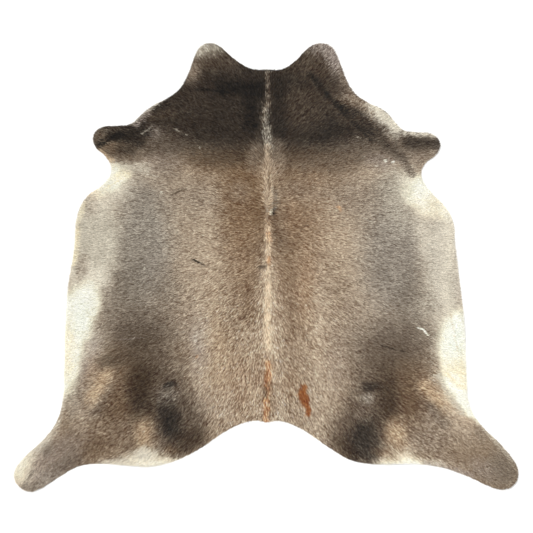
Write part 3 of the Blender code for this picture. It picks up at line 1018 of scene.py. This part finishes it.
def coat_pieces(leather_mesh, settings):
    """The locks of the coat, strip by strip: a strip's name and all that its mesh is made from."""
    chance = np.random.default_rng(settings.seed)
    tree = ray_tree(leather_mesh)
    x, y, z = root_places(settings.lock_spacing, tree, chance)
    count = len(x)
    along_x, along_y = flow(x, y)
    half_way = 0.5 * settings.lock_length
    draw = chance.random(count)
    painted = linear(markings(x + half_way * along_x, y + half_way * along_y, draw))
    coarse = coarseness(x, y, painted.mean(1))
    thin = chance.random(count) < settings.dark_share * np.clip(coarse, *THIN_COARSE)
    shank = soft_step(0.80, 1.10, np.abs(x)) * soft_step(-0.55, -0.85, y)
    length = settings.lock_length * chance.uniform(*LENGTHS, count) * (1 - 0.3 * shank)
    length[thin] *= THIN_LENGTH
    length = cut_at_rim(x, y, along_x, along_y, length, chance)
    ground = heights(tree, x + along_x * length, y + along_y * length)
    past_edge = np.isnan(ground)
    ground[past_edge] = z[past_edge]
    clump = soft_noise(x, y, 0.013, 31)
    rise = settings.coat_height * (0.75 + 0.22 * clump + chance.uniform(*RISES, count))
    rise[past_edge] *= RIM_RISE
    rise[thin] *= THIN_RISE
    forward = np.stack([along_x * length, along_y * length, ground + rise - z], 1)
    size = np.linalg.norm(forward, axis=1, keepdims=True)
    forward /= size
    sideways, upward = rolled_sides(forward, along_x, along_y, chance)
    width = settings.lock_width * chance.uniform(*WIDTHS, count)[:, None]
    width[thin] *= THIN_WIDTH
    root = np.stack([x, y, z + settings.leather_thickness - SUNK_ROOT + THIN_LIFT * thin], 1)
    shape, faces = unit_lock()
    corners = (
        root[:, None]
        + shape[None, :, 0:1] * (forward * size)[:, None]
        + shape[None, :, 1:2] * (sideways * width)[:, None]
        + shape[None, :, 2:3] * (upward * (LOCK_THICKNESS * width))[:, None]
    )
    tone = lock_tones(x, y, along_x, along_y, coarse, chance)
    tone[thin] *= np.exp(-THIN_DARKENING * coarse[thin])
    # Chance from corner to corner of each lock, leaning to painted shade as in the gaps between hairs
    spots = dark_leaning(chance.normal(0, 1, (count, len(shape))))
    spots = np.exp(SPOT_CHANGE * coarse[:, None] * spots)
    # Painted shade towards each lock's root and painted light towards its tip
    shade = np.interp(shape[:, 0], [0, WIDEST, 1], PAINTED_LOCK_SHADING)
    change = tone[:, None] * spots * shade[None, :] * settings.coat_gain - 1
    colours = painted[:, None] + change[:, :, None] * (painted @ TONE_MIX)[:, None]
    colours = np.clip(colours - GLOSS_SHARE, *PAINT_LIMITS)
    strands = np.zeros_like(corners)
    strands[:, :, 0] = chance.uniform(0, 10, (count, 1)) + shape[None, :, 1] * width
    strands[:, :, 1] = shape[None, :, 0] * size
    roots = np.stack([x, y], 1)
    order = np.arange(count)
    for name, start, end in STRIPS:
        chosen = order[(x >= start) & (x < end)]
        if len(chosen) > MOST_LOCKS:
            raise ValueError(f"{name} has {len(chosen)} locks: space them wider")
        yield name, corners[chosen], colours[chosen], strands[chosen], roots[chosen], shape, faces


def rolled_sides(forward, along_x, along_y, chance):
    """The sideways and upward directions of each lock, rolled about its length by chance."""
    sideways = np.stack([-along_y, along_x, np.zeros(len(forward))], 1)
    upward = np.cross(forward, sideways)
    roll = chance.uniform(*ROLLS, len(forward))[:, None]
    return (
        sideways * np.cos(roll) + upward * np.sin(roll),
        upward * np.cos(roll) - sideways * np.sin(roll),
    )


def dark_leaning(steps):
    """Turns even chances into ones that reach further to the dark side: painted shade, as in the gaps
    between hairs.
    """
    return steps - 0.15 * (steps**2 - 1)


def lock_tones(x, y, along_x, along_y, coarse, chance):
    """How light or dark each lock is: short streaks along the flow, soft clouds and its own chance,
    which leans to painted shade as in the gaps between hairs.
    """
    streak = sum(
        soft_noise(x + along_x * step, y + along_y * step, 0.0060, 41) for step in (-0.004, 0, 0.004)
    )
    clouds = soft_noise(x, y, 0.060, 42)
    own = dark_leaning(chance.normal(0, 1, len(x)))
    return np.exp(coarse * (STREAK_CHANGE * streak + LOCK_CHANGE * own) + CLOUD_CHANGE * clouds)


def coarseness(x, y, lightness):
    """How coarse the coat looks: more on the back, rump, neck and thighs, least where it is pale."""
    middle = np.exp(-((x / 0.34) ** 2)) * soft_step(0.62, 0.30, y)
    neck = soft_step(0.50, 0.66, y)
    out = np.abs(x)
    thigh = soft_step(-0.42, -0.58, y) * soft_step(0.30, 0.45, out) * soft_step(0.95, 0.75, out)
    pale = soft_step(0.22, 0.62, lightness)
    rump = np.exp(-((x / 0.42) ** 2)) * soft_step(0.0, -0.20, y)
    return (0.77 + 0.35 * middle + 0.34 * rump) * (1 + 0.55 * neck + 0.55 * thigh) * (1 - 0.76 * pale)


def joined_locks(name, corners, colours, strands, roots, shape, faces):
    """One mesh of many locks, with their colours, the places along and across each lock that its
    strand lines follow, and a flat map in which each lock has its own place.
    """
    count, size = corners.shape[:2]
    mesh = bpy.data.meshes.new(name)
    mesh.vertices.add(count * size)
    mesh.vertices.foreach_set("co", corners.astype(np.float32).ravel())
    indices = (faces[None] + (np.arange(count) * size)[:, None, None]).reshape(-1, faces.shape[1])
    mesh.loops.add(indices.size)
    mesh.loops.foreach_set("vertex_index", indices.astype(np.int32).ravel())
    mesh.polygons.add(len(indices))
    mesh.polygons.foreach_set("loop_start", np.arange(0, indices.size, 3, dtype=np.int32))
    mesh.update(calc_edges=True)
    mesh.shade_flat()
    colour_points(mesh, colours.reshape(-1, 3))
    along = mesh.attributes.new(STRAND_LAYER, "FLOAT_VECTOR", "POINT")
    along.data.foreach_set("vector", strands.astype(np.float32).ravel())
    low, high = roots.min(0), roots.max(0)
    cell = MAP_CELL * np.stack([shape[:, 0] - 0.5 + shape[:, 1], shape[:, 0] - 0.5 - shape[:, 1]], 1)
    places = (roots[:, None] + cell[None] - low + MAP_MARGIN) / (high - low + 2 * MAP_MARGIN)
    flat = places.reshape(-1, 2)[indices.ravel()]
    layer = mesh.uv_layers.new(name="OFBake")
    layer.uv.foreach_set("vector", flat.astype(np.float32).ravel())
    return mesh


class CowhideLeather(bpy.types.PropertyGroup):
    """Sizes and colours of the leather."""

    thickness: bpy.props.FloatProperty(
        name="Thickness",
        description="Thickness of the tanned leather",
        default=0.002, min=0.001, max=0.004, subtype="DISTANCE", unit="LENGTH",
    )
    edge_inset: bpy.props.FloatProperty(
        name="Edge inset",
        description="How far the cut edge lies inside the tips of the hair",
        default=0.004, min=0.0, max=0.010, subtype="DISTANCE", unit="LENGTH",
    )
    cell_pitch: bpy.props.FloatProperty(
        name="Cell pitch",
        description="Size of the cells that follow the ripples",
        default=0.020, min=0.010, max=0.060, subtype="DISTANCE", unit="LENGTH",
    )
    suede_colour: bpy.props.FloatVectorProperty(
        name="Suede colour",
        description="Colour of the flesh side",
        default=(0.56, 0.47, 0.36), size=3, min=0.0, max=1.0, subtype="COLOR",
    )


class CowhideCoat(bpy.types.PropertyGroup):
    """Sizes of the coat of hair."""

    leather_thickness: bpy.props.FloatProperty(
        name="Root height",
        description="Height of the roots above the flesh side",
        default=0.002, min=0.001, max=0.004, subtype="DISTANCE", unit="LENGTH",
    )
    lock_spacing: bpy.props.FloatProperty(
        name="Lock spacing",
        description="Distance between the roots of two locks",
        default=0.0039, min=0.003, max=0.020, subtype="DISTANCE", unit="LENGTH",
    )
    lock_length: bpy.props.FloatProperty(
        name="Lock length",
        description="Length of a lock of hair on the body",
        default=0.016, min=0.005, max=0.040, subtype="DISTANCE", unit="LENGTH",
    )
    lock_width: bpy.props.FloatProperty(
        name="Lock width",
        description="Width of a lock at its widest place",
        default=0.0028, min=0.001, max=0.010, subtype="DISTANCE", unit="LENGTH",
    )
    dark_share: bpy.props.FloatProperty(
        name="Dark thin hairs",
        description="Share of the locks that are thin and dark",
        default=0.17, min=0.0, max=0.5, subtype="FACTOR",
    )
    coat_height: bpy.props.FloatProperty(
        name="Coat height",
        description="Height of the lying hair above the leather",
        default=0.0046, min=0.001, max=0.010, subtype="DISTANCE", unit="LENGTH",
    )
    coat_gain: bpy.props.FloatProperty(
        name="Coat gain",
        description="How much lighter the hair is painted than it shows between its shadows",
        default=1.16, min=0.5, max=2.0,
    )
    gloss_roughness: bpy.props.FloatProperty(
        name="Gloss roughness",
        description="Roughness of the hair's gloss",
        default=0.52, min=0.1, max=1.0,
    )
    seed: bpy.props.IntProperty(
        name="Seed",
        description="Number that the chance in the coat starts from",
        default=7, min=0,
    )


class CowhideStage(bpy.types.PropertyGroup):
    """The plain floor, the light and the camera."""

    floor_colour: bpy.props.FloatVectorProperty(
        name="Floor colour",
        description="Colour of the plain floor",
        default=(0.80, 0.80, 0.79), size=3, min=0.0, max=1.0, subtype="COLOR",
    )
    fill: bpy.props.FloatProperty(
        name="Fill light",
        description="Strength of the even light from all round",
        default=0.90, min=0.0, max=5.0,
    )
    key: bpy.props.FloatProperty(
        name="Key light",
        description="Strength of the broad light from the upper left",
        default=2.33, min=0.0, max=20.0,
    )
    camera_height: bpy.props.FloatProperty(
        name="Camera height",
        description="Height of the camera above the floor",
        default=5.0, min=1.0, max=50.0, subtype="DISTANCE", unit="LENGTH",
    )
    view_width: bpy.props.FloatProperty(
        name="View width",
        description="Width of the floor that the camera sees",
        default=2.494, min=0.5, max=20.0, subtype="DISTANCE", unit="LENGTH",
    )


class COWHIDE_OT_leather(bpy.types.Operator):
    """Makes the leather sheet that replaces the frame's plain hide"""

    bl_idname = "cowhide.leather"
    bl_label = "Make Leather"
    bl_options = {"REGISTER", "UNDO"}

    def execute(self, context):
        settings = context.scene.cowhide_leather
        mesh = laid_leather(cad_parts["cowhide"], settings)
        places = np.array([vertex.co for vertex in mesh.vertices])
        colour_points(mesh, linear(markings(places[:, 0], places[:, 1])))
        hair_ground = hair_ground_material()
        flesh_side = flesh_side_material(settings)
        cut_edge = cut_edge_material(settings)
        leather = shown_piece("leather", mesh, [hair_ground, flesh_side, cut_edge])
        thick = leather.modifiers.new("thickness", "SOLIDIFY")
        thick.thickness = settings.thickness
        thick.offset = 1
        thick.material_offset = 1
        thick.material_offset_rim = 2
        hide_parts("cowhide")
        return {"FINISHED"}


class COWHIDE_OT_coat(bpy.types.Operator):
    """Makes the coat of hair, strip by strip, on the leather"""

    bl_idname = "cowhide.coat"
    bl_label = "Make Coat"
    bl_options = {"REGISTER", "UNDO"}

    def execute(self, context):
        settings = context.scene.cowhide_coat
        leather = bpy.data.objects["leather"]
        material = coat_material(settings)
        for name, *parts in coat_pieces(leather.data, settings):
            mesh = joined_locks(name, *parts)
            shown_piece(name, mesh, [material])
        return {"FINISHED"}


class COWHIDE_OT_stage(bpy.types.Operator):
    """Makes the floor, the light and the camera that looks straight down"""

    bl_idname = "cowhide.stage"
    bl_label = "Make Stage"
    bl_options = {"REGISTER", "UNDO"}

    def execute(self, context):
        settings = context.scene.cowhide_stage
        self.floor(context, settings)
        self.light(context, settings)
        self.camera(context, settings)
        return {"FINISHED"}

    def floor(self, context, settings):
        shape = bmesh.new()
        bmesh.ops.create_grid(shape, x_segments=4, y_segments=4, size=FLOOR_REACH)
        mesh = bpy.data.meshes.new("floor")
        shape.to_mesh(mesh)
        shape.free()
        mesh.materials.append(floor_material(settings))
        floor = bpy.data.objects.new("floor", mesh)
        floor.location.z = FLOOR_Z
        context.scene.collection.objects.link(floor)

    def light(self, context, settings):
        world = bpy.data.worlds.new("soft_room")
        world.use_nodes = True
        world.node_tree.nodes["Background"].inputs["Color"].default_value = (1, 1, 1, 1)
        world.node_tree.nodes["Background"].inputs["Strength"].default_value = settings.fill
        context.scene.world = world
        lamp = bpy.data.lights.new("key", "SUN")
        lamp.energy = settings.key
        lamp.angle = KEY_ANGLE
        key = bpy.data.objects.new("key", lamp)
        key.rotation_euler = Vector(KEY_DIRECTION).to_track_quat("-Z", "Y").to_euler()
        context.scene.collection.objects.link(key)
        context.scene.view_settings.view_transform = "Standard"
        context.scene.view_settings.look = "None"

    def camera(self, context, settings):
        lens = bpy.data.cameras.new("camera")
        lens.sensor_width = 36
        lens.lens = lens.sensor_width * settings.camera_height / settings.view_width
        camera = bpy.data.objects.new("camera", lens)
        camera.location = (*CAMERA_OVER, settings.camera_height)
        context.scene.collection.objects.link(camera)
        context.scene.camera = camera


class COWHIDE_PT_panel(bpy.types.Panel):
    """Sizes and steps of the cowhide rug"""

    bl_idname = "COWHIDE_PT_panel"
    bl_label = "Cowhide Rug"
    bl_space_type = "VIEW_3D"
    bl_region_type = "UI"
    bl_category = "Cowhide"

    def draw(self, context):
        scene = context.scene
        steps = (
            (scene.cowhide_leather, "cowhide.leather"),
            (scene.cowhide_coat, "cowhide.coat"),
            (scene.cowhide_stage, "cowhide.stage"),
        )
        for settings, step in steps:
            box = self.layout.box()
            for name in settings.bl_rna.properties.keys():
                if name not in ("rna_type", "name"):
                    box.prop(settings, name)
            box.operator(step)


CLASSES = (
    CowhideLeather,
    CowhideCoat,
    CowhideStage,
    COWHIDE_OT_leather,
    COWHIDE_OT_coat,
    COWHIDE_OT_stage,
    COWHIDE_PT_panel,
)


def register():
    for item in CLASSES:
        bpy.utils.register_class(item)
    bpy.types.Scene.cowhide_leather = bpy.props.PointerProperty(type=CowhideLeather)
    bpy.types.Scene.cowhide_coat = bpy.props.PointerProperty(type=CowhideCoat)
    bpy.types.Scene.cowhide_stage = bpy.props.PointerProperty(type=CowhideStage)


def unregister():
    del bpy.types.Scene.cowhide_stage
    del bpy.types.Scene.cowhide_coat
    del bpy.types.Scene.cowhide_leather
    for item in reversed(CLASSES):
        bpy.utils.unregister_class(item)


def main():
    register()
    bpy.ops.cowhide.leather()
    bpy.ops.cowhide.coat()
    bpy.ops.cowhide.stage()


if __name__ == "__main__":
    main()
